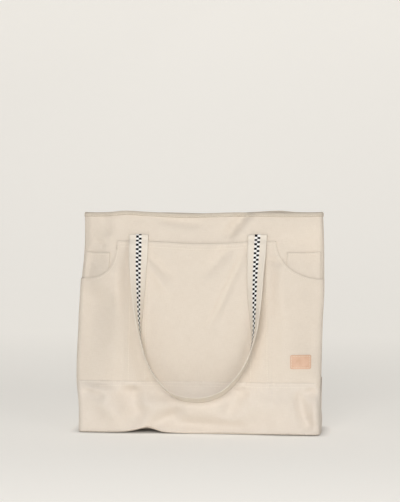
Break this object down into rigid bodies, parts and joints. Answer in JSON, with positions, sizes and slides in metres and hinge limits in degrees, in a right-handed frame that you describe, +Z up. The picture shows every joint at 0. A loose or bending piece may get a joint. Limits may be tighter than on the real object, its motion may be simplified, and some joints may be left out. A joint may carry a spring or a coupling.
{
  "type": "beach bag",
  "caption": "Open-top canvas beach bag with a scooped front pocket, coin pockets, a bottom band, a leather patch and two hanging webbing handles.",
  "frame": {"origin": "on the ground under the middle of the bag", "axes": "+X to the right seen from the front, front face towards -Y, +Z up"},
  "size_m": [0.51, 0.2268, 0.4553],
  "materials": {
    "canvas": "heavy plain-weave cotton canvas, natural cream, matt",
    "binding": "narrow folded canvas binding with one row of topstitching",
    "webbing": "cream ribbed cotton webbing with a woven dark check along the middle",
    "leather": "natural vegetable-tanned leather, smooth and matt",
    "thread": "cream sewing thread"
  },
  "bodies": {
    "bag": {"front_panel": "canvas", "back_panel": "canvas", "left_gusset": "canvas", "right_gusset": "canvas", "bottom_panel": "canvas", "front_boot_band": "canvas", "back_boot_band": "canvas", "left_boot_band": "canvas", "right_boot_band": "canvas", "front_apron_pocket": "canvas", "left_coin_pocket": "canvas", "right_coin_pocket": "canvas", "front_rim_binding": "binding", "back_rim_binding": "binding", "left_gusset_binding": "binding", "right_gusset_binding": "binding", "front_left_strap_leg": "webbing", "front_right_strap_leg": "webbing", "back_left_strap_leg": "webbing", "back_right_strap_leg": "webbing", "leather_patch": "leather", "patch_stitching": "thread"},
    "front_handle": {"front_handle_loop": "webbing"},
    "back_handle": {"back_handle_loop": "webbing"}
  },
  "joints": [
    {"name": "front_handle_swing", "type": "hinge", "parent": "bag", "child": "front_handle", "pos_m": [0, -0.03093, 0.40619], "axis": [-1, 0, 0], "range_deg": [0, 160]},
    {"name": "back_handle_swing", "type": "hinge", "parent": "bag", "child": "back_handle", "pos_m": [0, 0.03093, 0.40619], "axis": [1, 0, 0], "range_deg": [0, 160]}
  ]
}
